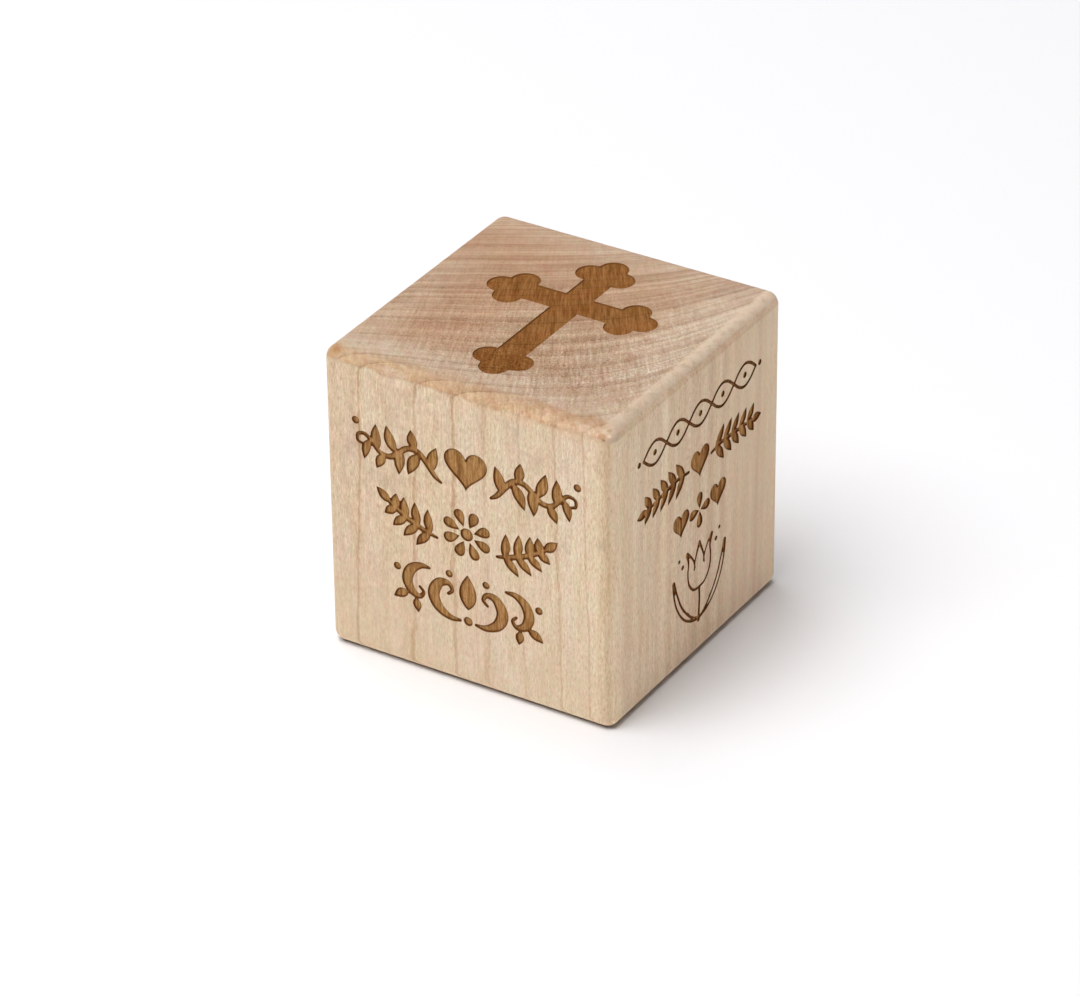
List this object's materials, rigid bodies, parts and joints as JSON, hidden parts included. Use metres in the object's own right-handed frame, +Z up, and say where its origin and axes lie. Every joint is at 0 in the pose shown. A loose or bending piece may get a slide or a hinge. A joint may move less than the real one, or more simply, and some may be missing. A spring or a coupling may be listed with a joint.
{
  "type": "wooden keepsake block",
  "caption": "Solid hardwood keepsake block with rounded edges, a budded cross engraved in its end-grain top and ornament engraved in its sides.",
  "frame": {"origin": "centre of the base, on the surface the block stands on", "axes": "+Z up, along the wood's grain, out of the end-grain face that carries the cross; the cross's head points to +Y; -Y is the front side with three rows of ornament; +X is the right side with three rows and a flower"},
  "size_m": [0.0494, 0.0494, 0.0508],
  "materials": {
    "maple": "sanded, unfinished hard maple with brown laser-burnt engraving"
  },
  "bodies": {
    "root": {"block": "maple"}
  },
  "joints": []
}
